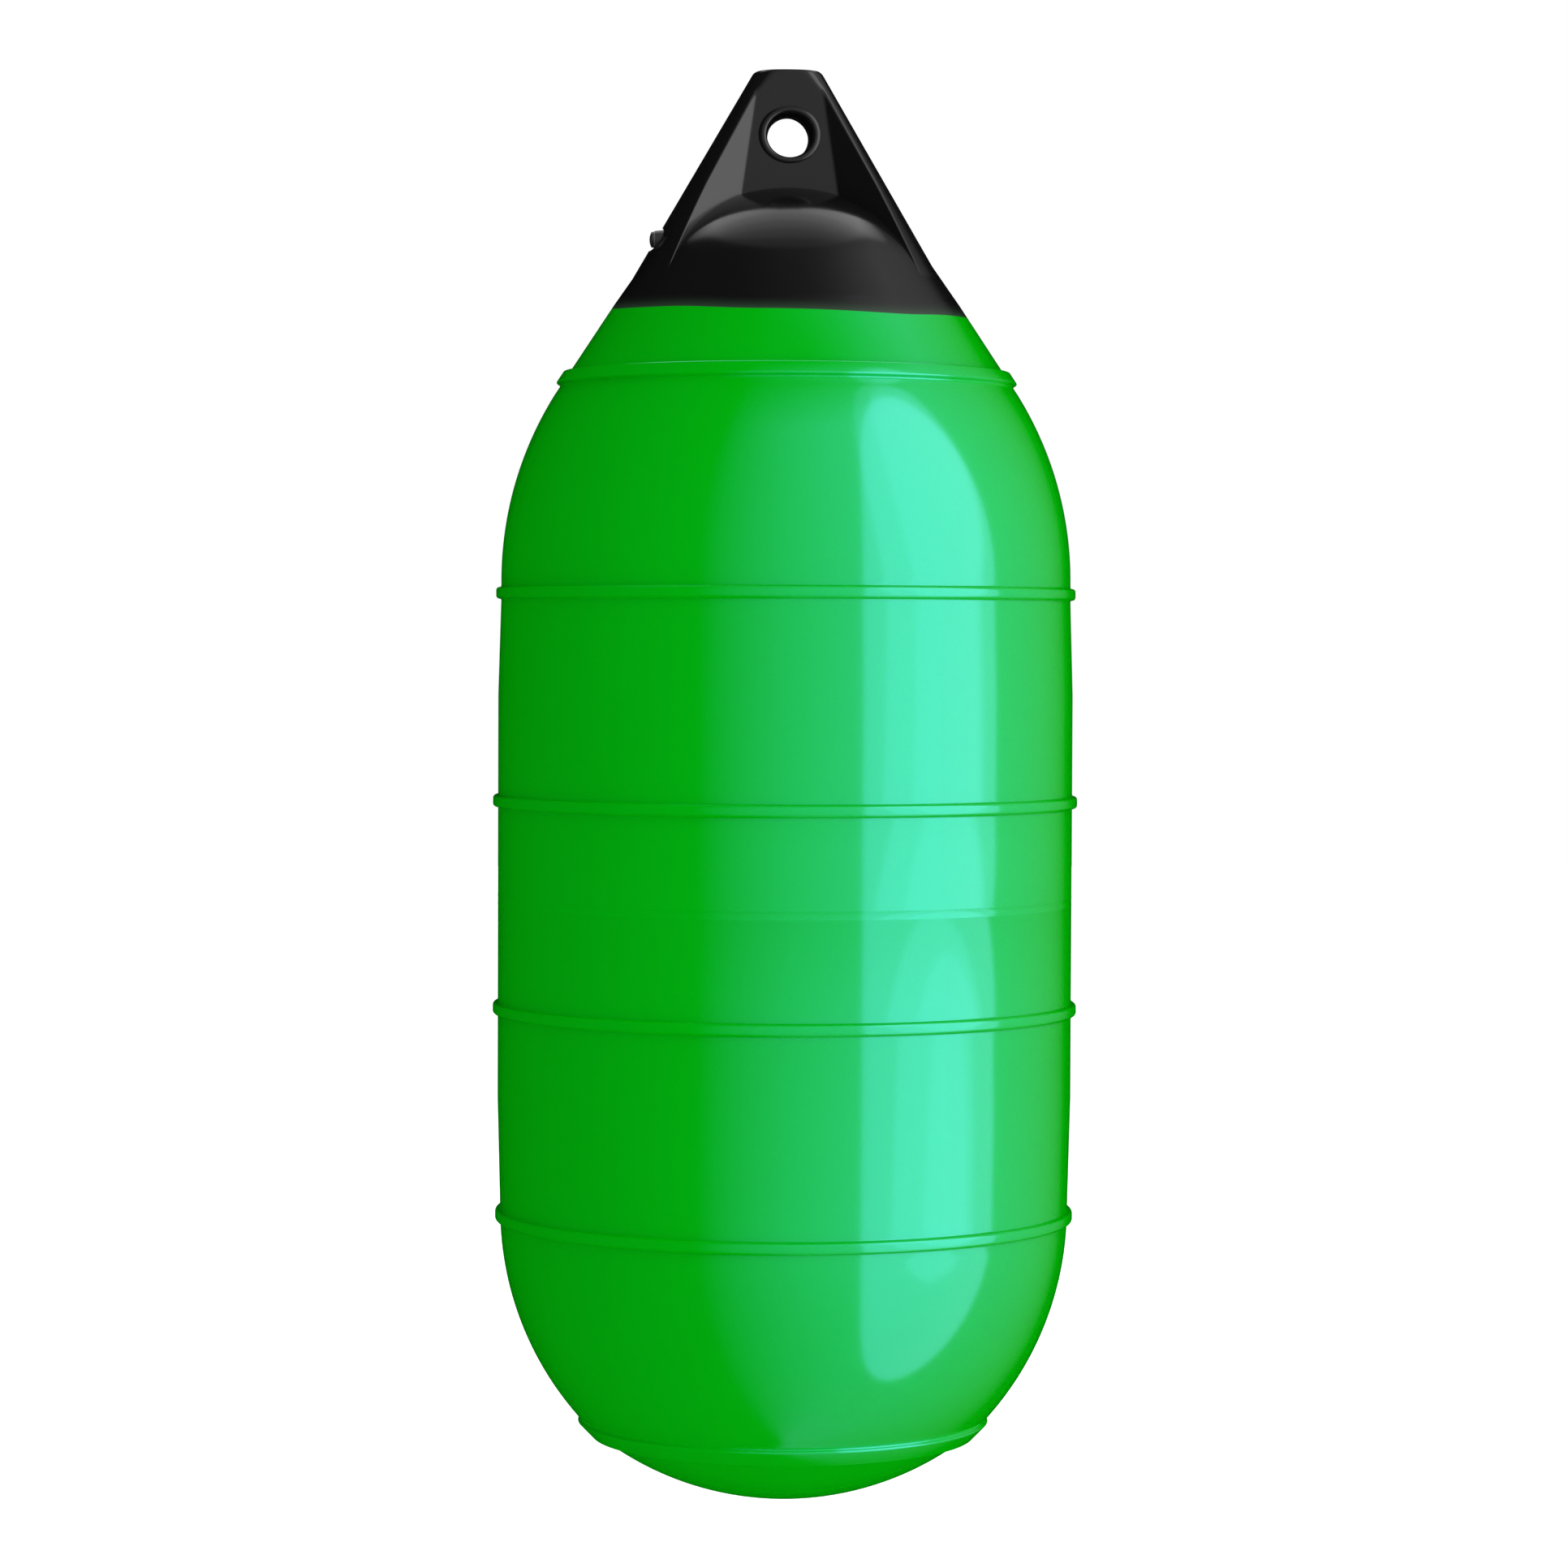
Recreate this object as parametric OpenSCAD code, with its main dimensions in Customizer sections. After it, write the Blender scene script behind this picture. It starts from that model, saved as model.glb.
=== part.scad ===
// Inflatable low drag buoy: a moulded vinyl hull with ring ribs under a solid rope-eye top.
// Millimetres, +Z up the buoy's axis, origin at the centre of the rope eye, whose bore runs along Y.

/* [Hull] */
// Radius of the hull in its middle bays
hull_r = 176.6; // [120:0.1:260]
// How far the hull draws in at its two waists
waist_in = 1.7; // [0:0.1:6]
// Length of the slight taper from a waist out to the full radius
taper_len = 70; // [20:1:120]
// Height of the shoulder, from the upper waist to the top rib
shoulder_h = 123.4; // [90:0.1:180]
// Height of the knuckle, from the bottom rib to the lower waist
knuckle_h = 134.1; // [90:0.1:200]
// Depth of the foot, the hull's lowest point, below the bottom rib
foot_h = 43.9; // [30:0.1:90]
// Thickness of the moulded wall
wall = 3.5; // [2:0.1:8]

/* [Ribs] */
// Depth of the top rib below the eye
first_rib_drop = 147.8; // [130:0.1:170]
// Hull radius under the top rib
first_rib_r = 136; // [115:0.1:155]
// Spacing of the four ribs round the body
rib_pitch = 127.3; // [100:0.1:140]
// Spacing from the body ribs to the rib at each end
end_pitch = 131.2; // [110:0.1:150]
// Hull radius under the bottom rib
end_rib_r = 120.4; // [90:0.1:140]
// How far a body rib stands out of the hull
rib_h = 3.1; // [1:0.1:8]
// Width of a body rib
rib_w = 7.2; // [3:0.1:16]
// Rounding of a rib's outer corners
rib_round = 2; // [0.3:0.1:3]
// Height of the top rib over the cone
first_rib_h = 3.3; // [1:0.1:8]
// Width of the top rib along the cone
first_rib_w = 10.5; // [5:0.1:20]
// Height of the bottom rib over the end
end_rib_h = 2.5; // [1:0.1:8]
// Width of the bottom rib along the end
end_rib_w = 14; // [5:0.1:24]
// How deep each rib is rooted in the wall
rib_root = 1.2; // [0.5:0.1:3]

/* [Parting seam] */
// Depth of the mould's parting seam below the third rib
seam_below = 60.7; // [20:0.1:100]
// Width of the seam's flat band
seam_w = 6; // [2:0.1:12]
// Height of the seam over the wall
seam_h = 0.3; // [0.1:0.05:1]

/* [Ropehold skirt and dome] */
// Radius of the skirt's lower edge, flush with the hull
skirt_r = 106.2; // [95:0.1:120]
// Depth of the skirt's lower edge below the eye
skirt_drop = 102.5; // [95:0.1:115]
// Thickness of the skirt where it laps the hull
lap_t = 3; // [1.5:0.1:6]
// Radius of the dome's edge, where the skirt begins
dome_r = 86.8; // [75:0.1:95]
// Depth of the dome's edge below the eye
dome_drop = 74.7; // [65:0.1:85]
// Depth of the dome's crown below the eye
crown_drop = 29.5; // [25:0.1:40]
// Radius of the hull's flat neck inside the ropehold
neck_r = 50; // [30:0.5:60]
// Depth of the neck's top below the eye
neck_drop = 52; // [48:0.5:70]

/* [Lug] */
// Height of the lug's top over the eye
lug_top = 40.8; // [34:0.1:60]
// Radius of the lug's cone at the eye
lug_r = 44.5; // [36:0.1:52]
// Angle of the lug's cone from the axis
lug_angle = 30.3; // [26:0.1:33]
// Rounding of the lug's top edge
lug_round = 4; // [1:0.1:8]
// Half the thickness between the two eye panels, at the eye
panel_y = 19.2; // [16:0.1:26]
// Draft of each eye panel, which leans back towards the lug's top
panel_lean = 3; // [0:0.1:8]
// Half width of an eye panel at the eye
panel_x = 24.5; // [21:0.1:32]
// Flare of the panel's two edges
panel_flare = 8.3; // [0:0.1:15]
// Turn of the pocket's side facets out of the panel
facet_turn = 28.8; // [10:0.1:40]
// Half angle of the side pockets between the fins
side_angle = 11.9; // [6:0.1:16]
// Turn of the side pockets' two floors from the ridge between them
side_turn = 20; // [8:0.5:30]

/* [Rope eye] */
// Radius of the rope eye's bore
eye_r = 12.75; // [8:0.05:20]
// Half the length of the bore's straight land, at the eye's waist
eye_land = 4; // [2:0.1:10]
// How far each of the eye's two mouths flares out to its panel
eye_flare = 5.6; // [2:0.1:8]
// Step that the flare starts with, outside the bore
eye_step = 0.2; // [0.05:0.05:0.5]

/* [Valve] */
// Depth of the valve below the eye
valve_drop = 62.4; // [55:0.1:70]
// Depth of the recess that the valve's seat lies in, under the lug's cone
recess_d = 9; // [6:0.1:14]
// Gap round the seat's collar in its recess
recess_gap = 0.6; // [0.2:0.1:3]
// Radius of the seat's collar at its foot
collar_r = 6.4; // [6:0.1:10]
// Radius of the seat's collar at its top
collar_top_r = 5.4; // [5.4:0.1:8]
// Height of the collar over the lug's cone
collar_h = 0.5; // [0.2:0.1:3]
// Radius of the seat's barrel
barrel_r = 5; // [4.2:0.1:7]
// Length of the barrel below the recess
barrel_len = 24; // [20:0.5:30]
// Clearance of the barrel in its port
barrel_gap = 0.05; // [0.02:0.01:0.2]
// Radius of the valve screw's shank
screw_r = 3; // [2:0.1:4]
// Running clearance of the shank in its seat and washer
screw_gap = 0.06; // [0.02:0.01:0.1]
// Length of the shank under the head
shank_len = 9; // [6:0.5:14]
// Bevel of the shank's tip
tip_bevel = 0.8; // [0.2:0.1:1.5]
// Radius of the sealing washer
washer_r = 5; // [4.5:0.1:6]
// Thickness of the sealing washer
washer_t = 0.7; // [0.3:0.05:2]
// Radius of the valve screw's head
head_r = 4.8; // [4.2:0.1:6]
// Height of the head's straight edge
head_edge = 1.3; // [0.3:0.05:2]
// Height of the head's domed crown over that edge
head_dome = 1.2; // [0.3:0.05:2]
// Width of the coin slot
slot_w = 1.4; // [0.8:0.1:2.5]
// Depth of the coin slot
slot_d = 0.9; // [0.3:0.05:1.3]

/* [Hidden] */
$fn = 96;
arc_steps = 14;
round_steps = 4;
waist_r = hull_r - waist_in;
rib_drops = [for (i = [0:3]) first_rib_drop + end_pitch + i * rib_pitch];
end_rib_drop = rib_drops[3] + end_pitch;
shoulder_drop = first_rib_drop + shoulder_h;
knuckle_drop = end_rib_drop - knuckle_h;
foot_drop = end_rib_drop + foot_h;
seam_drop = rib_drops[1] + seam_below;
reach = foot_drop / 2;

// An arc from straight up at [r0, z0] to the point [r1, z1] further in,
// as points with their outward normal's angle
function side_k(r0, z0, r1, z1) = ((r0 - r1) ^ 2 + (z1 - z0) ^ 2) / (2 * (r0 - r1));
function side_end(r0, z0, r1, z1) = asin((z1 - z0) / side_k(r0, z0, r1, z1));
function side_arc(r0, z0, r1, z1, share) =
    let (k = side_k(r0, z0, r1, z1), a = share * side_end(r0, z0, r1, z1))
    [r0 - k + k * cos(a), z0 + k * sin(a), a];

// An arc from the axis at height z0, level there, to the point [r1, z1]:
// up is 1 over a crown and -1 under a foot
function cap_k(z0, r1, z1) = (r1 ^ 2 + (z1 - z0) ^ 2) / (2 * abs(z1 - z0));
function cap_arc(z0, r1, z1, up, share) =
    let (k = cap_k(z0, r1, z1), a = share * asin(r1 / k))
    [k * sin(a), z0 - up * (k - k * cos(a)), up * (90 - a)];

function moved(p, t) = [p[0] - t * cos(p[2]), p[1] - t * sin(p[2])];

skirt_slope = (skirt_r - dome_r) / (skirt_drop - dome_drop);
skirt_tilt = atan(skirt_slope);
cone_tilt = atan2(first_rib_r - skirt_r, first_rib_drop - skirt_drop);
skirt_edge = [skirt_r, -skirt_drop];
lap_edge = moved([skirt_r, -skirt_drop, skirt_tilt], lap_t);
neck_edge = [neck_r, -neck_drop];
neck_tilt = atan2(lap_edge[0] - neck_r, -neck_drop - lap_edge[1]);

// The hull's outline from its foot to the skirt, with the outward normal at each point
foot_arc = [
    for (i = [0:arc_steps])
        cap_arc(-foot_drop, end_rib_r, -end_rib_drop, -1, i / arc_steps)
];
knuckle_arc = [
    for (i = [arc_steps:-1:0])
        side_arc(waist_r, -knuckle_drop, end_rib_r, -end_rib_drop, i / arc_steps)
];
body_line = [
    [hull_r, taper_len - knuckle_drop, 0],
    [hull_r, -taper_len - shoulder_drop, 0],
];
shoulder_arc = [
    for (i = [0:arc_steps])
        side_arc(waist_r, -shoulder_drop, first_rib_r, -first_rib_drop, i / arc_steps)
];
dome_arc = [
    for (i = [0:arc_steps])
        cap_arc(-crown_drop, dome_r, -dome_drop, 1, i / arc_steps)
];

lug_slope = tan(lug_angle);
lug_meet = (lug_r - dome_r + dome_drop * skirt_slope) / (skirt_slope - lug_slope);
lug_foot = min(max(lug_meet + lap_t, dome_drop), skirt_drop - lap_t);
lug_apex = lug_r / lug_slope;
valve_x = lug_r + valve_drop * lug_slope;
seat_top = collar_h;
head_foot = seat_top + washer_t;
port_r = barrel_r + barrel_gap;
bore_r = screw_r + screw_gap;
recess_r = collar_r + recess_gap;

module at_valve() {
    translate([-valve_x, 0, -valve_drop])
        rotate([0, -90, 0])
            children();
}

// One rib's section, standing on the hull at [r, z] with its height along the direction a
module rib_section(r, z, a, h, w) {
    c = min(rib_round, h, w / 2);
    corner = [for (i = [0:round_steps]) 90 * i / round_steps];
    translate([r, z])
        rotate(a)
            polygon([
                [-rib_root, -w / 2],
                for (t = corner) [h - c + c * sin(t), -w / 2 + c - c * cos(t)],
                for (t = corner) [h - c + c * cos(t), w / 2 - c + c * sin(t)],
                [-rib_root, w / 2],
            ]);
}

module hull_outline() {
    polygon([
        for (p = foot_arc) [p[0], p[1]],
        for (i = [1:arc_steps]) [knuckle_arc[i][0], knuckle_arc[i][1]],
        for (p = body_line) [p[0], p[1]],
        for (p = shoulder_arc) [p[0], p[1]],
        skirt_edge,
        lap_edge,
        neck_edge,
        [0, -neck_drop],
    ]);
    rib_section(first_rib_r, -first_rib_drop, cone_tilt, first_rib_h, first_rib_w);
    rib_section(waist_r, -rib_drops[0], 0, rib_h, rib_w);
    rib_section(hull_r, -rib_drops[1], 0, rib_h, rib_w);
    rib_section(hull_r, -rib_drops[2], 0, rib_h, rib_w);
    rib_section(waist_r, -rib_drops[3], 0, rib_h, rib_w);
    rib_section(end_rib_r, -end_rib_drop, knuckle_arc[0][2], end_rib_h, end_rib_w);
    rib_section(hull_r, -seam_drop, 0, seam_h, seam_w);
}

module air_outline() {
    polygon([
        for (i = [0:arc_steps - 1]) moved(foot_arc[i], wall),
        for (p = knuckle_arc) moved(p, wall),
        for (p = body_line) moved(p, wall),
        for (p = shoulder_arc) moved(p, wall),
        moved([lap_edge[0], lap_edge[1], neck_tilt], wall),
        [neck_r - wall * (1 - sin(neck_tilt)) / cos(neck_tilt), -neck_drop - wall],
        [0, -neck_drop - wall],
    ]);
}

module hull_shell() {
    color("green")
        difference() {
            rotate_extrude()
                difference() {
                    hull_outline();
                    air_outline();
                }
            at_valve()
                translate([0, 0, -recess_d - barrel_len])
                    cylinder(r = port_r, h = barrel_len);
        }
}

// The whole dome and skirt, down to the lap
module cap_solid() {
    rotate_extrude()
        polygon([
            for (p = dome_arc) [p[0], p[1]],
            skirt_edge,
            lap_edge,
            [0, lap_edge[1]],
        ]);
}

// The room that the hull's neck fills under the dome
module socket() {
    rotate_extrude()
        polygon([
            [0, -neck_drop],
            neck_edge,
            lap_edge,
            [lap_edge[0], lap_edge[1] - lap_t],
            [0, lap_edge[1] - lap_t],
        ]);
}

module lug_cone() {
    corner_z = lug_top - lug_round;
    corner_r = lug_r - lug_slope * (corner_z + lug_round * sin(lug_angle)) - lug_round * cos(lug_angle);
    rotate_extrude()
        polygon([
            [0, -lug_foot],
            [lug_r + lug_foot * lug_slope, -lug_foot],
            for (i = [0:round_steps])
                let (a = lug_angle + (90 - lug_angle) * i / round_steps)
                [corner_r + lug_round * cos(a), corner_z + lug_round * sin(a)],
            [0, lug_top],
        ]);
}

// Everything on the -Y side of the XZ plane
module near_side() {
    translate([-reach, -reach, -reach])
        cube([2 * reach, reach, 2 * reach]);
}

// The pocket in front of one eye panel, between two facets
module eye_pocket() {
    translate([0, -panel_y, 0])
        rotate([-panel_lean, 0, 0])
            intersection() {
                near_side();
                translate([panel_x, 0, 0])
                    rotate([0, -panel_flare, 0])
                        rotate([0, 0, -facet_turn])
                            near_side();
                translate([-panel_x, 0, 0])
                    rotate([0, panel_flare, 0])
                        rotate([0, 0, facet_turn])
                            near_side();
            }
}

// The shallow pocket on the +X side, its two floors meeting at a ridge on the lug's cone
module side_pocket() {
    intersection() {
        translate([0, 0, lug_apex])
            rotate([side_angle, 0, 0])
                near_side();
        translate([0, 0, lug_apex])
            rotate([-side_angle, 0, 180])
                near_side();
        translate([lug_r, 0, 0])
            rotate([0, -lug_angle, 0])
                union() {
                    rotate([0, 0, 90 + side_turn])
                        near_side();
                    rotate([0, 0, 90 - side_turn])
                        near_side();
                }
    }
}

module lug() {
    difference() {
        lug_cone();
        eye_pocket();
        rotate([0, 0, 180])
            eye_pocket();
        side_pocket();
        rotate([0, 0, 180])
            side_pocket();
    }
}

// The flared mouth of the eye, a quarter ellipse cut short at its panel, opening towards the
// local +Z with its throat at the local origin
module eye_mouth() {
    last = 68;
    steps = 8;
    throat = eye_r + eye_step;
    depth = (panel_y - eye_land) * cos(panel_lean);
    wide = eye_flare / (1 - cos(last));
    deep = depth / sin(last);
    clear_z = depth + eye_flare * deep / (wide * tan(last));
    rotate_extrude()
        polygon([
            [0, 0],
            for (i = [0:steps])
                let (t = last * i / steps)
                [throat + wide * (1 - cos(t)), deep * sin(t)],
            [throat + 2 * eye_flare, clear_z],
            [0, clear_z],
        ]);
}

module eye_cut() {
    rotate([90, 0, 0])
        cylinder(r = eye_r, h = 2 * reach, center = true);
    translate([0, -eye_land, 0])
        rotate([90 - panel_lean, 0, 0])
            eye_mouth();
    translate([0, eye_land, 0])
        rotate([panel_lean - 90, 0, 0])
            eye_mouth();
}

module ropehold() {
    color("black")
        difference() {
            union() {
                cap_solid();
                lug();
            }
            socket();
            eye_cut();
            at_valve()
                translate([0, 0, -recess_d])
                    cylinder(r = recess_r, h = 2 * recess_d);
            at_valve()
                translate([0, 0, -recess_d - barrel_len])
                    cylinder(r = port_r, h = 2 * barrel_len);
        }
}

module valve_seat() {
    color("dimgray")
        at_valve()
            difference() {
                union() {
                    translate([0, 0, -recess_d])
                        cylinder(r1 = collar_r, r2 = collar_top_r, h = recess_d + seat_top);
                    translate([0, 0, -recess_d - barrel_len])
                        cylinder(r = barrel_r, h = barrel_len + recess_d);
                }
                translate([0, 0, -recess_d - 2 * barrel_len])
                    cylinder(r = bore_r, h = 4 * barrel_len);
            }
}

module valve_washer() {
    color("lightgray")
        at_valve()
            translate([0, 0, seat_top])
                difference() {
                    cylinder(r = washer_r, h = washer_t);
                    translate([0, 0, -washer_t])
                        cylinder(r = bore_r, h = 3 * washer_t);
                }
}

module valve_screw() {
    edge_z = head_foot + head_edge;
    crown_z = edge_z + head_dome;
    crown = [for (i = [0:round_steps]) cap_arc(crown_z, head_r, edge_z, 1, i / round_steps)];
    color("gray")
        at_valve()
            difference() {
                rotate_extrude()
                    polygon([
                        for (p = crown) [p[0], p[1]],
                        [head_r, head_foot],
                        [screw_r, head_foot],
                        [screw_r, head_foot - shank_len + tip_bevel],
                        [screw_r - tip_bevel, head_foot - shank_len],
                        [0, head_foot - shank_len],
                    ]);
                translate([-head_r * 2, -slot_w / 2, crown_z - slot_d])
                    cube([head_r * 4, slot_w, slot_d * 2]);
            }
}

hull_shell();  // hull
ropehold();
valve_seat();
valve_washer();
valve_screw();
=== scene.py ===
import math

import bpy
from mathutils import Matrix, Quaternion, Vector


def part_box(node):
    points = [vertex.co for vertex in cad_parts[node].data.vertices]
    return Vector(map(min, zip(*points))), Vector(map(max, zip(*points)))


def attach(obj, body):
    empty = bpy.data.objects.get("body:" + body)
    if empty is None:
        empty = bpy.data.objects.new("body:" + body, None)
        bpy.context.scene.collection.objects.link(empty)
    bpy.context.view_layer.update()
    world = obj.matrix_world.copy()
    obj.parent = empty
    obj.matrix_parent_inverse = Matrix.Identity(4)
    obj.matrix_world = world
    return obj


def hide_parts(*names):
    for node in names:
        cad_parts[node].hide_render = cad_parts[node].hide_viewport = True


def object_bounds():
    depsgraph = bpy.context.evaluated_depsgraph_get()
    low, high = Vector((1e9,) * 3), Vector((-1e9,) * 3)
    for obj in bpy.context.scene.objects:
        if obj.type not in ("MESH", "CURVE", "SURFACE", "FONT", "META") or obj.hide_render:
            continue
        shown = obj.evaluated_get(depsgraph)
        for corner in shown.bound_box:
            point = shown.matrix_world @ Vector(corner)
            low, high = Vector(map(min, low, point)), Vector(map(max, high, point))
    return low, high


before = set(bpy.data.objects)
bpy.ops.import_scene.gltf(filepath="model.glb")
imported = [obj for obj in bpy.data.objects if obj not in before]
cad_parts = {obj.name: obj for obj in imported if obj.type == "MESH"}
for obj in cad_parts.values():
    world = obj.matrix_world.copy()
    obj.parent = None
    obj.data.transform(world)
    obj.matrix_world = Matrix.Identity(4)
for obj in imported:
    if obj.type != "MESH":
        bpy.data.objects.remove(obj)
cad_low, cad_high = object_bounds()


# The hull: a green vinyl moulding blown up with air, a long barrel with round ends. Six ribs ring it,
# a faint double seam shows where the mould's halves met, and its neck goes up inside the black top.
mm = 0.001
hull_r = 176.6 * mm
waist_in = 1.7 * mm
taper_len = 70 * mm
rib_pitch = 127.3 * mm
rib_h = 3.1 * mm
rib_w = 7.2 * mm
rib_round = 2 * mm
rib_foot_round = 0.9 * mm
rib_room = 2.2 * mm
first_rib_drop = 147.8 * mm
first_rib_down = 0.6 * mm
first_rib_r = 136 * mm
first_rib_out = 0.4 * mm
first_rib_h = 3.3 * mm
first_rib_w = 9 * mm
first_rib_round = 1 * mm
end_pitch = 131.2 * mm
end_rib_r = 120.4 * mm
end_rib_h = 2.5 * mm
end_rib_w = 14 * mm
end_rib_round = 1.1 * mm
shoulder_h = 123.4 * mm
knuckle_h = 134.1 * mm
seam_below = 60.7 * mm
seam_gap = 5.2 * mm
seam_h = 0.12 * mm
seam_w = 1 * mm
seam_top_w = 0.4 * mm
skirt_r = 106.2 * mm
skirt_drop = 102.5 * mm
lap_t = 3 * mm
dome_r = 86.8 * mm
dome_drop = 74.7 * mm
neck_r = 50 * mm
neck_drop = 52 * mm
foot_steps = 28
side_steps = 36
hull_columns = 288
hull_crease = math.radians(40)
merge_gap = 0.02 * mm

waist_r = hull_r - waist_in
rib_drops = [first_rib_drop + end_pitch + i * rib_pitch for i in range(4)]
end_rib_drop = rib_drops[3] + end_pitch
foot_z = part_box("hull")[0].z
skirt_tilt = math.atan2(skirt_r - dome_r, skirt_drop - dome_drop)
lap_edge = (skirt_r - lap_t * math.cos(skirt_tilt), -skirt_drop - lap_t * math.sin(skirt_tilt))


def side_arc(r0, z0, r1, z1, steps):
    """The arc that leaves (r0, z0) straight along the axis and bends in to (r1, z1)."""
    k = ((r0 - r1) ** 2 + (z1 - z0) ** 2) / (2 * (r0 - r1))
    end = math.asin((z1 - z0) / k)
    turns = [end * i / steps for i in range(steps + 1)]
    return [(r0 - k + k * math.cos(a), z0 + k * math.sin(a)) for a in turns]


def foot_arc(z0, r1, z1, steps):
    """The arc that leaves the axis level at z0 and bends up to (r1, z1)."""
    k = (r1**2 + (z1 - z0) ** 2) / (2 * (z1 - z0))
    end = math.asin(r1 / k)
    turns = [end * i / steps for i in range(steps + 1)]
    return [(k * math.sin(a), z0 + k - k * math.cos(a)) for a in turns]


def rib(r, z, tilt, high, wide, top_round):
    """A rib's corners from its lower foot to its upper one, each with the radius that rounds it."""
    out = Vector((math.cos(tilt), math.sin(tilt)))
    up = Vector((-math.sin(tilt), math.cos(tilt)))
    feet = Vector((r, z))
    corners = [
        (0, -0.5, rib_foot_round), (high, -0.5, top_round), (high, 0.5, top_round), (0, 0.5, rib_foot_round)
    ]
    return [(*(feet + out * h + up * wide * share), turn) for h, share, turn in corners]


def rounded(corners, steps=7):
    """The outline through these corners, each turned at its own radius."""
    points = []
    for i, (r, z, radius) in enumerate(corners):
        here = Vector((r, z))
        if not radius:
            points.append((r, z))
            continue
        back = (Vector(corners[i - 1][:2]) - here).normalized()
        on = (Vector(corners[i + 1][:2]) - here).normalized()
        half = back.angle(on) / 2
        centre = here + (back + on).normalized() * radius / math.sin(half)
        start = here + back * radius / math.tan(half) - centre
        sweep = (math.pi - 2 * half) * (1 if back.cross(on) < 0 else -1)
        for step in range(steps + 1):
            turn = sweep * step / steps
            c, s = math.cos(turn), math.sin(turn)
            points.append((centre.x + start.x * c - start.y * s, centre.y + start.x * s + start.y * c))
    return points


def turned(name, outline, columns):
    """A piece turned like wood on a lathe: its outline drawn edge by edge, then spun round the axis."""
    bpy.ops.object.select_all(action="DESELECT")
    bpy.ops.mesh.primitive_plane_add(size=mm)
    piece = bpy.context.object
    piece.name = name
    bpy.ops.object.mode_set(mode="EDIT")
    bpy.ops.mesh.merge(type="CENTER")
    bpy.ops.transform.translate(value=(outline[0][0], 0, outline[0][1]))
    for (r0, z0), (r1, z1) in zip(outline, outline[1:]):
        bpy.ops.mesh.extrude_vertices_move(TRANSFORM_OT_translate={"value": (r1 - r0, 0, z1 - z0)})
    bpy.ops.mesh.select_all(action="SELECT")
    bpy.ops.mesh.spin(steps=columns, angle=2 * math.pi, center=(0, 0, 0), axis=(0, 0, 1))
    bpy.ops.mesh.select_all(action="SELECT")
    bpy.ops.mesh.remove_doubles(threshold=merge_gap)
    bpy.ops.mesh.normals_make_consistent(inside=False)
    bpy.ops.object.mode_set(mode="OBJECT")
    return piece


first_tilt = math.atan2(first_rib_r - skirt_r, first_rib_drop - skirt_drop)
knuckle_k = ((waist_r - end_rib_r) ** 2 + knuckle_h**2) / (2 * (waist_r - end_rib_r))
end_tilt = -math.asin(knuckle_h / knuckle_k)
seam_z = -rib_drops[1] - seam_below
first_rib = (first_rib_r + first_rib_out, -first_rib_drop - first_rib_down, first_tilt)
ribs = [(*first_rib, first_rib_h, first_rib_w, first_rib_round)]
for r, drop in zip((waist_r, hull_r, hull_r, waist_r), rib_drops):
    ribs.append((r, -drop, 0, rib_h, rib_w, rib_round))
ribs.append((end_rib_r, -end_rib_drop, end_tilt, end_rib_h, end_rib_w, end_rib_round))


def clear_of_ribs(r, z):
    """Whether a point of the plain outline is clear of every rib's foot."""
    gaps = [math.hypot(r - rib_r, z - rib_z) - wide / 2 for rib_r, rib_z, _, _, wide, _ in ribs]
    return min(gaps) > rib_room


shoulder_z = -first_rib_drop - shoulder_h
knuckle_z = knuckle_h - end_rib_drop
plain = foot_arc(foot_z, end_rib_r, -end_rib_drop, foot_steps)
plain += side_arc(waist_r, knuckle_z, end_rib_r, -end_rib_drop, side_steps)
plain += side_arc(waist_r, shoulder_z, first_rib_r, -first_rib_drop, side_steps)
plain += [(hull_r, knuckle_z + taper_len), (hull_r, shoulder_z - taper_len)]
stations = [(z, [(r, z, 0)]) for r, z in plain if clear_of_ribs(r, z)]
for sizes in ribs:
    stations.append((sizes[1], rib(*sizes)))
for edge in (-seam_gap / 2, seam_gap / 2):
    lip = [(0, -seam_w / 2), (seam_h, -seam_top_w / 2), (seam_h, seam_top_w / 2), (0, seam_w / 2)]
    stations.append((seam_z + edge, [(hull_r + out, seam_z + edge + up, 0) for out, up in lip]))
stations.sort(key=lambda station: station[0])
hull_corners = [corner for _, group in stations for corner in group]
hull_corners += [(skirt_r, -skirt_drop, 0), (*lap_edge, 0), (neck_r, -neck_drop, 0), (0, -neck_drop, 0)]
hull = turned("hull_skin", rounded(hull_corners), hull_columns)
bpy.ops.object.shade_smooth_by_angle(angle=hull_crease)


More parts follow.
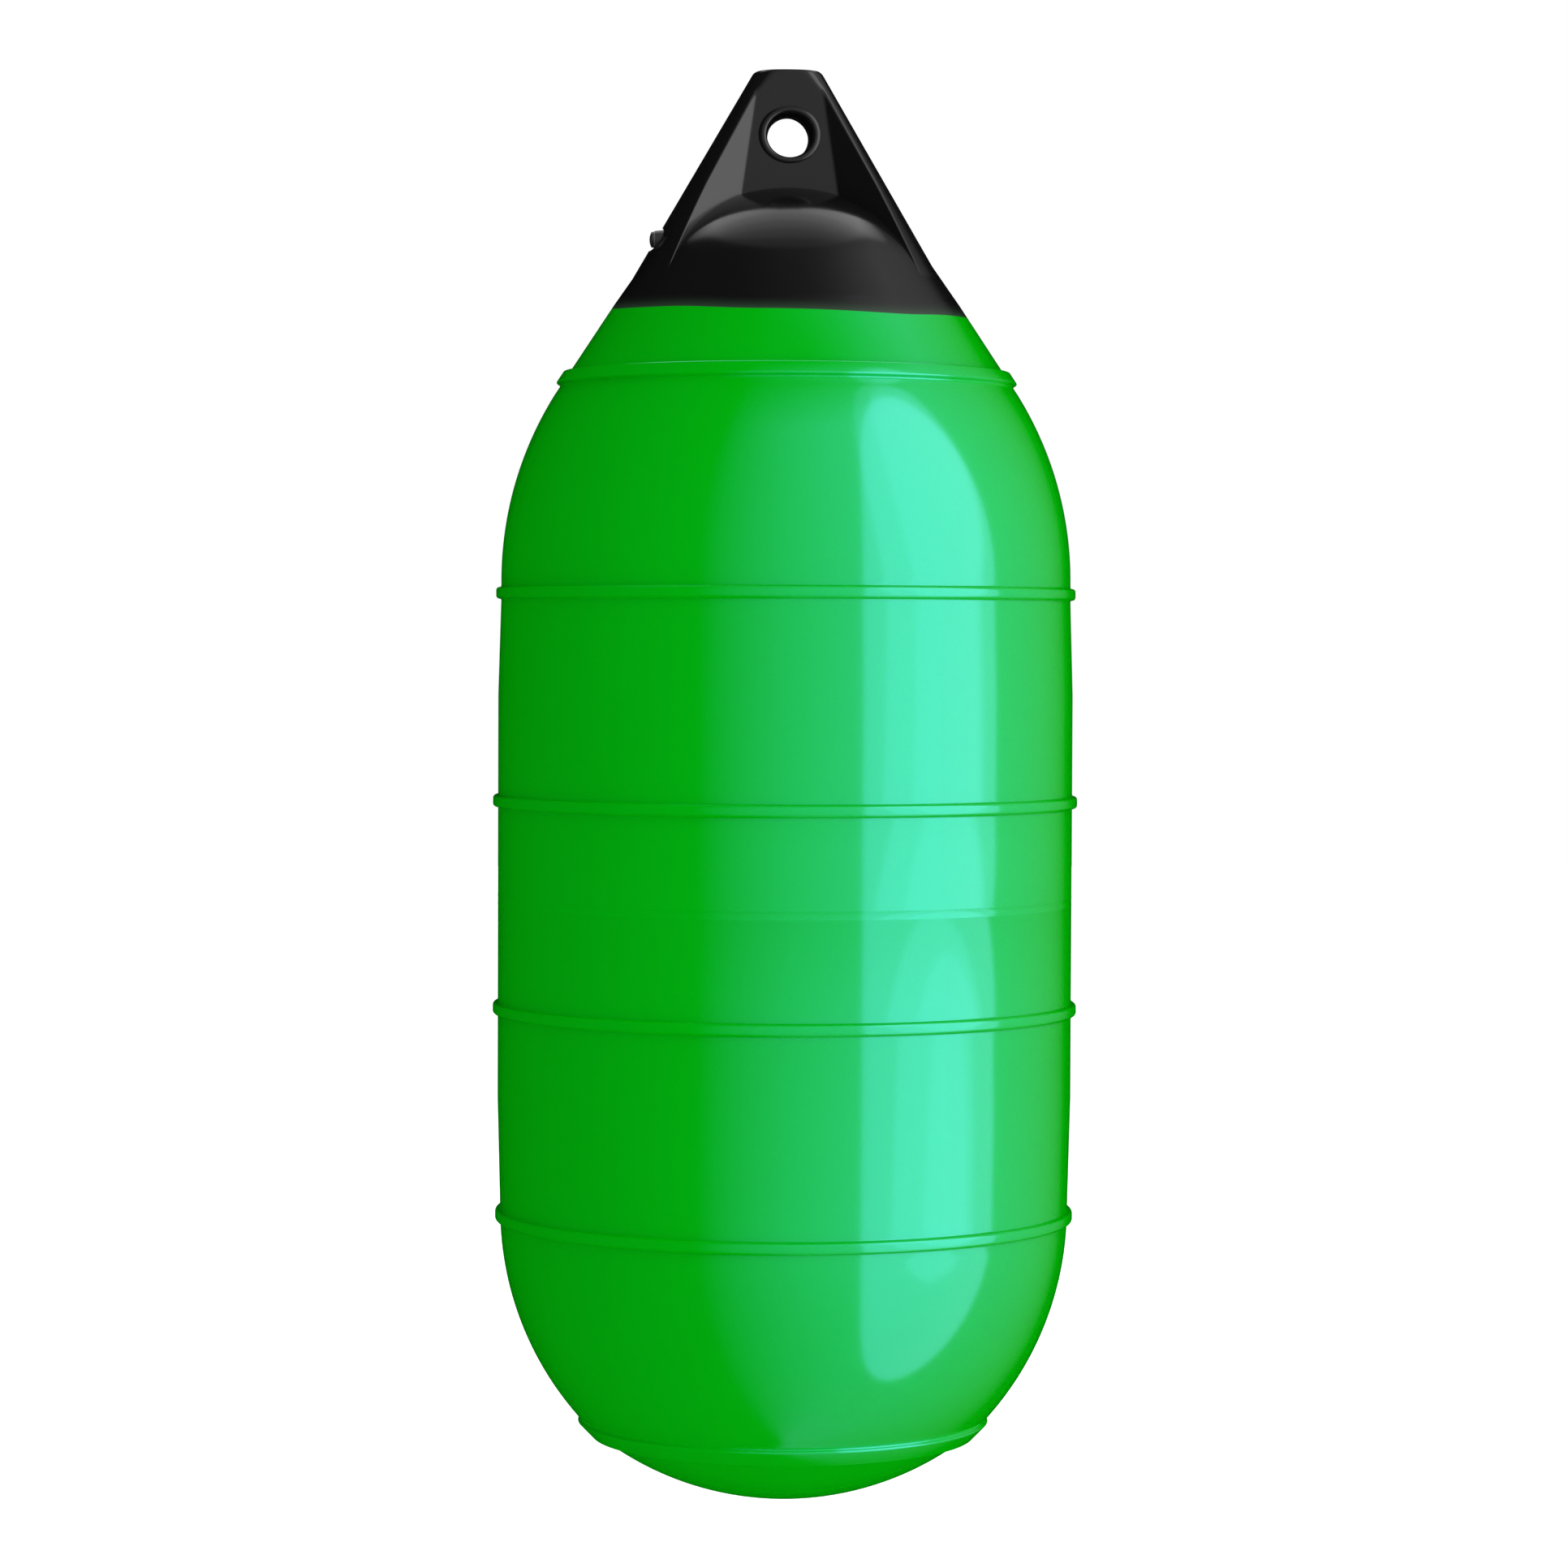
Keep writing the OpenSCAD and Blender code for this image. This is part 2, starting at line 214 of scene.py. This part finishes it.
class Wire:
    """A socket of a material or of the room, so that shader maths reads as an expression."""

    def __init__(self, tree, socket):
        self.tree, self.socket = tree, socket

    def node(self, kind, sockets=None, out=0, **settings):
        """A node of that kind: its settings first, then the values or wires of its sockets."""
        made = self.tree.nodes.new(kind)
        for name, value in settings.items():
            setattr(made, name, value)
        for name, value in (sockets or {}).items():
            if isinstance(value, Wire):
                self.tree.links.new(value.socket, made.inputs[name])
            else:
                made.inputs[name].default_value = value
        return Wire(self.tree, made.outputs[out])

    def maths(self, operation, *values, clamp=False):
        sockets = dict(enumerate(values))
        return self.node("ShaderNodeMath", sockets, operation=operation, use_clamp=clamp)

    def __add__(self, other):
        return self.maths("ADD", self, other)

    def __sub__(self, other):
        return self.maths("SUBTRACT", self, other)

    def __mul__(self, other):
        return self.maths("MULTIPLY", self, other)

    def __truediv__(self, other):
        return self.maths("DIVIDE", self, other)

    def __rsub__(self, other):
        return self.maths("SUBTRACT", other, self)

    __radd__ = __add__
    __rmul__ = __mul__

    def clamped(self):
        return self.maths("ADD", self, 0.0, clamp=True)

    def mix(self, first, second):
        """A blend of two colours, by this value."""
        sockets = {0: self, 6: first, 7: second}
        return self.node("ShaderNodeMix", sockets, out=2, data_type="RGBA")

    def axes(self):
        parts = self.node("ShaderNodeSeparateXYZ", {0: self}).socket.node.outputs
        return [Wire(self.tree, part) for part in parts]

    def noise(self, scale, detail):
        sockets = {"Vector": self, "Scale": scale, "Detail": detail}
        return self.node("ShaderNodeTexNoise", sockets)

    def bump(self, distance, strength):
        sockets = {"Height": self, "Distance": distance, "Strength": strength}
        return self.node("ShaderNodeBump", sockets)

    def into(self, socket):
        self.tree.links.new(self.socket, socket)


def finish(name, **constants):
    """A new material, its shader's sockets set to these constants, and the object's coordinates."""
    material = bpy.data.materials.new(name)
    material.use_nodes = True
    tree = material.node_tree
    shader = tree.nodes["Principled BSDF"]
    for socket, value in constants.items():
        shader.inputs[socket.replace("_", " ")].default_value = value
    place = Wire(tree, tree.nodes.new("ShaderNodeTexCoord").outputs["Object"])
    return material, shader, place


black_level = 0.4
black = (0.006, 0.006, 0.006, 1)
bled = (0.03, 0.06, 0.035, 1)
bleed_h = 8 * mm
black_edge_drop = 107.2 * mm
black_edge_right = 0.019
black_edge_back = 0.037
black_edge_wave = 5 * mm
black_edge_soft = 0.35 * mm


def bled_black(place):
    """The top's black, thinner towards its edge, where the hull's green shows through it, and how far a
    point is above that edge, which waves a little and hangs lower in front."""
    x, y, z = place.axes()
    wave = place.noise(9.0, 1.0) - 0.5
    edge = -black_edge_drop - black_edge_right * x + black_edge_back * y + wave * black_edge_wave
    above = z - edge
    thin = (1 - above / bleed_h).clamped()
    return (thin * thin).mix(black, bled), above


def moulded_black(shader, place):
    """Wires the top's smooth black into a shader: a little smeared by the mould, with specks of dust."""
    smear = place.noise(26.0, 4.0)
    dust = place.noise(1400.0, 2.0)
    (0.11 + 0.06 * smear + 0.02 * dust).into(shader.inputs["Roughness"])
    (smear * 0.2).bump(0.3 * mm, 0.3).into(shader.inputs["Normal"])
    colour, above = bled_black(place)
    colour.into(shader.inputs["Base Color"])
    return above


green_low = (0.0, 0.56, 0.0, 1)
green_high = (0.0, 0.6, 0.001, 1)
green_sheen = (0.14, 0.54, 0.9, 1)
green_vinyl, shader, place = finish("green_vinyl", IOR=1.9, Specular_IOR_Level=1.0, Specular_Tint=green_sheen)
cloud = place.noise(7.0, 3.0)
grain = place.noise(900.0, 2.0)
cloud.mix(green_low, green_high).into(shader.inputs["Base Color"])
(0.09 + 0.03 * cloud + 0.01 * grain).into(shader.inputs["Roughness"])
(cloud * 0.8 + grain * 0.006).bump(0.6 * mm, 0.3).into(shader.inputs["Normal"])
band = place.node("ShaderNodeBsdfPrincipled", {"IOR": 1.5, "Specular IOR Level": black_level})
above = moulded_black(band.socket.node, place)
is_black = (above / black_edge_soft + 0.5).clamped()
both = place.node("ShaderNodeMixShader", {0: is_black, 1: Wire(place.tree, shader.outputs[0]), 2: band})
both.into(place.tree.nodes["Material Output"].inputs["Surface"])
hull.data.materials.append(green_vinyl)
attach(hull, "buoy")
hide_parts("hull")


# The ropehold: a solid black vinyl moulding bonded over the hull's neck. A cone-shaped lug stands on
# its dome, pressed in at the front and back to a panel between two facets, with a beaded eye through
# both, and at the sides to shallow pockets whose two floors meet at a ridge.
lug_top = 40.8 * mm
lug_r = 44.5 * mm
lug_angle = math.radians(30.3)
lug_round = 4 * mm
panel_y = 19.2 * mm
panel_lean = math.radians(3)
panel_x = 24.5 * mm
panel_flare = math.radians(8.3)
facet_turn = math.radians(28.8)
facet_warp = 4.4
warp_drop = 30 * mm
side_angle = math.radians(11.9)
side_turn = math.radians(20)
crown_drop = 29.5 * mm
crest_round = 3.2 * mm
crest_taper = 0.022
crest_level = 20 * mm
crest_least = 1.2 * mm
crest_reach = 4 * mm
edge_reach = 1.5 * mm
top_margin = 0.1 * mm
corner_round = 0.7 * mm
wall_round = 1.2 * mm
lug_drop = 92 * mm
lug_rows = 110
lug_columns = 320
lug_steps = 10
lug_crease = math.radians(32)
dome_steps = 60
skirt_steps = 8
dome_columns = 256

lug_slope = math.tan(lug_angle)
lug_apex = lug_r / lug_slope
dome_k = (dome_r**2 + (dome_drop - crown_drop) ** 2) / (2 * (dome_drop - crown_drop))
dome_end = math.asin(dome_r / dome_k)
corner_z = lug_top - lug_round
corner_r = lug_r - lug_slope * (corner_z + lug_round * math.sin(lug_angle)) - lug_round * math.cos(lug_angle)


def cone_r(z):
    """The radius of the lug's cone at this height."""
    return lug_r - lug_slope * z


crown = [dome_end * i / dome_steps for i in range(dome_steps + 1)]
dome = [(dome_k * math.sin(a), dome_k * math.cos(a) - dome_k - crown_drop) for a in crown]
for i in range(1, skirt_steps + 1):
    down = i / skirt_steps
    dome.append((dome_r + (skirt_r - dome_r) * down, -dome_drop - (skirt_drop - dome_drop) * down))
dome += [lap_edge, (neck_r, -neck_drop), (0, -neck_drop)]
ropehold = turned("ropehold_top", dome, dome_columns)

turns = [math.pi / 2 - (math.pi / 2 - lug_angle) * i / lug_steps for i in range(lug_steps + 1)]
blank = [(0, lug_top)]
blank += [(corner_r + lug_round * math.cos(a), corner_z + lug_round * math.sin(a)) for a in turns]
flank_top = blank[-1][1]
flank = [flank_top - (flank_top + lug_drop) * i / lug_rows for i in range(1, lug_rows + 1)]
blank += [(cone_r(z), z) for z in flank] + [(0, -lug_drop)]
lug = turned("lug_blank", blank, lug_columns)


def soft_max(a, b, radius):
    """The larger of two depths, with the corner between them rounded."""
    h = max(radius - abs(a - b), 0) / radius
    return max(a, b) + h * h * radius / 4


def panel_at(z):
    """How far out the leaning panel lies at this height."""
    return panel_y - z * math.tan(panel_lean)


def edge_at(z):
    """How far the panel's flared edge is from the middle at this height."""
    return panel_x - z / math.cos(panel_lean) * math.tan(panel_flare)


def facet_at(x, z):
    """How far out the facet lies at this place: the panel turned out about its flared edge, and more
    so towards the dome."""
    slope = math.tan(facet_turn) / math.cos(panel_lean) + facet_warp * max(-warp_drop - z, 0)
    return panel_at(z) + (x - edge_at(z)) * slope


def crest_at(z):
    """The azimuth from the front where the pocket's face comes out through the lug's cone."""
    low, high = 0.0, math.pi / 2
    for _ in range(40):
        turn = (low + high) / 2
        x, out = cone_r(z) * math.sin(turn), cone_r(z) * math.cos(turn)
        if out > max(panel_at(z), facet_at(x, z)):
            low = turn
        else:
            high = turn
    return low


wall_turn = math.pi / 2 - math.asin(math.tan(side_angle) / lug_slope)
guides = {}


def guided(share, z):
    """The azimuth from the front, at this height, of the column at this share of a quarter turn: the
    columns gather along the panel's edge, the crest and the side pocket's wall."""
    if z not in guides:
        r = cone_r(z)
        crest = max(crest_at(z), 0.2)
        reach = min(crest_reach / r, crest * 0.3, (wall_turn - crest) * 0.45)
        edge = min(math.asin(min(edge_at(z) / r, 1)), crest - reach * 1.6)
        near = min(edge_reach / r, reach * 0.5)
        guides[z] = [
            (0, 0), (0.2, edge - near), (0.3, edge + near), (0.36, crest - reach), (0.64, crest + reach),
            (0.7, wall_turn - near), (0.86, wall_turn + near), (1, math.pi / 2),
        ]
    for (s0, a0), (s1, a1) in zip(guides[z], guides[z][1:]):
        if share <= s1:
            return a0 + (a1 - a0) * (share - s0) / (s1 - s0)
    return math.pi / 2


for vertex in lug.data.vertices:
    x, y, z = vertex.co
    r = math.hypot(x, y)
    if r < corner_r - top_margin:
        continue
    turn = guided(math.atan2(abs(x), abs(y)) / (math.pi / 2), round(z, 7))
    ax, out = r * math.sin(turn), r * math.cos(turn)
    face = soft_max(panel_at(z), facet_at(ax, z), corner_round)
    rounding = max(crest_round + crest_taper * (z + crest_level), crest_least)
    out = -soft_max(-out, -face, rounding)
    wall_y = (lug_apex - z) * math.tan(side_angle)
    pocket_floor = cone_r(z) - out * math.tan(side_turn) / math.cos(lug_angle)
    inside = min(max((wall_y - out) / wall_round + 0.5, 0), 1)
    ax -= max(ax - pocket_floor, 0) * inside * inside * (3 - 2 * inside)
    vertex.co = (math.copysign(ax, x), math.copysign(out, y), z)


def combine(piece, other, operation):
    """Joins another solid to the piece, or takes it out of it."""
    bpy.ops.object.select_all(action="DESELECT")
    bpy.context.view_layer.objects.active = piece
    piece.select_set(True)
    change = piece.modifiers.new("combine", "BOOLEAN")
    change.operation = operation
    change.solver = "EXACT"
    change.object = other
    bpy.ops.object.modifier_apply(modifier=change.name)
    bpy.data.objects.remove(other)


combine(ropehold, lug, "UNION")

eye_r = 12.75 * mm
eye_land = 4 * mm
eye_step = 0.2 * mm
bead_x = 6.25 * mm
bead_z = 4.7 * mm
bead_h = 1.3 * mm
lip_round = 2.35 * mm
throat_flare = 0.95 * mm
bead_sunk = 3 * mm
mouth_clear = 8 * mm
bore_half = 60 * mm
eye_steps = 20
eye_columns = 128

throat = eye_r + eye_step
depth = (panel_y - eye_land) * math.cos(panel_lean)
crest_r = throat + throat_flare + lip_round
flank_w = throat + bead_x - crest_r
flank_last = 2 * math.atan2(bead_h, flank_w)
flank_round = flank_w / math.sin(flank_last)
flank_past = 1.12
rounds = [i / eye_steps for i in range(eye_steps + 1)]
flank_turns = [flank_past * flank_last * t for t in rounds]
lip_turns = [math.pi / 2 * t for t in rounds]
bead_top = depth + bead_h
bead = [(0, bead_top)]
for t in flank_turns:
    bead.append((crest_r + flank_round * math.sin(t), bead_top - flank_round * (1 - math.cos(t))))
bead += [(bead[-1][0], depth - bead_sunk), (0, depth - bead_sunk)]
mouth = [(0, 0), (throat, 0)]
mouth += [(crest_r - lip_round * math.cos(t), bead_top - lip_round * (1 - math.sin(t))) for t in lip_turns]
mouth += [(crest_r, depth + mouth_clear), (0, depth + mouth_clear)]
for side in (-1, 1):
    for name, outline, operation in (("eye_bead", bead, "UNION"), ("eye_mouth", mouth, "DIFFERENCE")):
        piece = turned(name, outline, eye_columns)
        for vertex in piece.data.vertices:
            x, y, z = vertex.co
            r = math.hypot(x, y)
            if r > throat:
                share = (y / r) ** 2
                grown = (throat + (r - throat) * (1 - share + share * bead_z / bead_x)) / r
                vertex.co = (x * grown, y * grown, z)
        piece.rotation_euler = (-side * (math.pi / 2 - panel_lean), 0, 0)
        piece.location = (0, side * eye_land, 0)
        bpy.ops.object.transform_apply()
        combine(ropehold, piece, operation)
bore_outline = [(0, -bore_half), (eye_r, -bore_half), (eye_r, bore_half), (0, bore_half)]
bore = turned("eye_bore", bore_outline, eye_columns)
bore.rotation_euler = (math.pi / 2, 0, 0)
bpy.ops.object.transform_apply()
combine(ropehold, bore, "DIFFERENCE")

valve_drop = 62.4 * mm
recess_d = 9 * mm
recess_r = 7 * mm
port_r = 5.05 * mm
port_d = 33 * mm
recess_columns = 64
port = [(0, -port_d), (port_r, -port_d), (port_r, -recess_d), (recess_r, -recess_d)]
recess = turned("valve_recess", port + [(recess_r, recess_d), (0, recess_d)], recess_columns)
recess.rotation_euler = (0, -math.pi / 2, 0)
recess.location = (-cone_r(-valve_drop), 0, -valve_drop)
bpy.ops.object.transform_apply()
combine(ropehold, recess, "DIFFERENCE")

bpy.ops.object.select_all(action="DESELECT")
ropehold.select_set(True)
bpy.context.view_layer.objects.active = ropehold
bpy.ops.object.shade_smooth_by_angle(angle=lug_crease)

black_vinyl, shader, place = finish("black_vinyl", IOR=1.5, Specular_IOR_Level=black_level)
moulded_black(shader, place)
ropehold.data.materials.append(black_vinyl)
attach(ropehold, "buoy")
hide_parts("ropehold")


# The valve: a hard collar set in the lug's left side, a grey nylon washer on it and a slotted screw that
# closes it. These are the CAD's own turned parts, each with its finish.
def speckled(name, low, high, rough):
    """A satin plastic of a colour between two, with a fine moulded grain."""
    material, shader, place = finish(name, IOR=1.5)
    grain = place.noise(1600.0, 3.0)
    grain.mix((*low, 1), (*high, 1)).into(shader.inputs["Base Color"])
    (rough + 0.12 * grain).into(shader.inputs["Roughness"])
    grain.bump(0.05 * mm, 0.5).into(shader.inputs["Normal"])
    return material


valve_finishes = {
    "valve_seat": speckled("seat_plastic", (0.03, 0.033, 0.031), (0.045, 0.05, 0.046), 0.3),
    "valve_washer": speckled("washer_nylon", (0.13, 0.13, 0.125), (0.17, 0.17, 0.16), 0.35),
    "valve_screw": speckled("screw_plastic", (0.018, 0.02, 0.019), (0.028, 0.03, 0.028), 0.28),
}
for node, material in valve_finishes.items():
    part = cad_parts[node]
    part.data.materials.clear()
    part.data.materials.append(material)


# The studio: a pale floor well below the hanging buoy, a tall softbox on the right with a brighter core,
# a broad light above and behind the top, and a wash from the right, in a white room.
camera_turn = math.radians(-4)
camera_away = 2.933
eye_level = -0.303
aim = Vector((-0.7 * mm, 0, -396 * mm))
camera_roll = math.radians(0.22)
frame_w = 0.966
sensor_w = 36
floor_gap = 0.35
floor_size = 30
floor_white = (0.9, 0.9, 0.9, 1)
floor_seen = (0.85, 0.85, 0.85, 1)
room_side = math.radians(58.53)
room_lift = 0.05
room_level = 0.95
room_under = 0.5
ceiling_rise = 0.97
ceiling_fade = 0.2
room_fill = 0.585


def lamp(name, shape, azimuth, elevation, away, width, height, radiance, target):
    """A soft flat lamp that faces a target, its azimuth counted from the camera."""
    turn = camera_turn + math.radians(azimuth)
    lift = math.radians(elevation)
    out = Vector((math.sin(turn) * math.cos(lift), -math.cos(turn) * math.cos(lift), math.sin(lift)))
    light = bpy.data.lights.new(name, "AREA")
    light.shape = shape
    light.size, light.size_y = width, height
    area = width * height * (math.pi / 4 if shape == "ELLIPSE" else 1)
    light.energy = radiance * math.pi * area
    holder = bpy.data.objects.new(name, light)
    bpy.context.scene.collection.objects.link(holder)
    holder.location = target + out * away
    holder.rotation_euler = out.to_track_quat("Z", "Y").to_euler()
    return holder


softbox_away = 3.4
above_aim = Vector((0, 0, 1.9))
for name, azimuth, width, height, radiance, target in (
    ("softbox", 60, 3.95, 9.8, 1.25, aim),
    ("softbox_core", 61, 3.4, 7.6, 0.55, above_aim),
    ("softbox_heart", 66, 2.5, 6.4, 0.4, above_aim),
):
    holder = lamp(name, "ELLIPSE", azimuth, 0, softbox_away, width, height, radiance, target)
    holder.visible_diffuse = False

# Five ellipses that share their far edge, so that the light above fades towards the front.
top_away = 1.5
top_layer = 0.01
top_low = 42
top_w = 2.1
top_narrower = 0.1
top_radiance = 0.33
crown_inside = 20 * mm
crown_point = Vector((0, 0, -crown_drop - crown_inside))
for i, top_high in enumerate((70, 79, 88, 97, 106)):
    rise = (top_low + top_high) / 2
    height = 2 * top_away * math.tan(math.radians(top_high - top_low) / 2)
    away = top_away - top_layer * i
    width = top_w - top_narrower * i
    holder = lamp(f"top_{i + 1}", "ELLIPSE", 180, rise, away, width, height, top_radiance, crown_point)
    holder.visible_diffuse = False

wash = lamp(
    "key_wash", "RECTANGLE", azimuth=43, elevation=8,
    away=softbox_away, width=3, height=5, radiance=1.75, target=aim,
)
wash.visible_glossy = False

bpy.ops.object.select_all(action="DESELECT")
bpy.ops.mesh.primitive_plane_add(size=floor_size, location=(0, 0, cad_low.z - floor_gap))
floor = bpy.context.object
floor.name = "studio_floor"
floor.visible_glossy = False
floor.visible_shadow = False
pale, shader, place = finish(
    "studio_pale", Base_Color=floor_white, Roughness=0.9, Specular_IOR_Level=0.0, Emission_Strength=1.0
)
rays = place.node("ShaderNodeLightPath").socket.node.outputs
seen = Wire(place.tree, rays["Is Camera Ray"])
seen.mix((0, 0, 0, 1), floor_seen).into(shader.inputs["Emission Color"])
floor.data.materials.append(pale)

world = bpy.data.worlds.new("white_room")
bpy.context.scene.world = world
world.use_nodes = True
tree = world.node_tree
backdrop = tree.nodes["Background"]
path = tree.nodes.new("ShaderNodeLightPath").outputs
toward = Wire(tree, tree.nodes.new("ShaderNodeTexCoord").outputs["Generated"])
dx, dy, dz = toward.axes()
flat = dx * dx + dy * dy
level = flat.maths("SQRT", flat)
right = (dx * math.cos(camera_turn) + dy * math.sin(camera_turn)) / level
near = (dx * math.sin(camera_turn) - dy * math.cos(camera_turn)) / level
under = room_level + room_under * dz.maths("MINIMUM", dz, 0.0)
over = ((ceiling_rise - dz) / ceiling_fade).clamped()
bright = right * math.sin(room_side) + near * math.cos(room_side) + room_lift
room = bright.clamped() * under * over
mirror = Wire(tree, path["Is Glossy Ray"])
glass = Wire(tree, path["Is Transmission Ray"])
direct = (Wire(tree, path["Is Camera Ray"]) + glass).clamped()
ambient = mirror * room + (1 - mirror) * room_fill
(direct + (1 - direct) * ambient).into(backdrop.inputs["Strength"])
backdrop.inputs["Color"].default_value = (1, 1, 1, 1)

bpy.context.scene.view_settings.view_transform = "Standard"
lens = bpy.data.cameras.new("camera")
lens.sensor_width = sensor_w
lens.lens = sensor_w * camera_away / frame_w
camera = bpy.data.objects.new("camera", lens)
bpy.context.scene.collection.objects.link(camera)
camera.location = (math.sin(camera_turn) * camera_away, -math.cos(camera_turn) * camera_away, eye_level)
look = (aim - camera.location).to_track_quat("-Z", "Y")
camera.rotation_euler = (look @ Quaternion((0, 0, 1), camera_roll)).to_euler()
bpy.context.scene.camera = camera
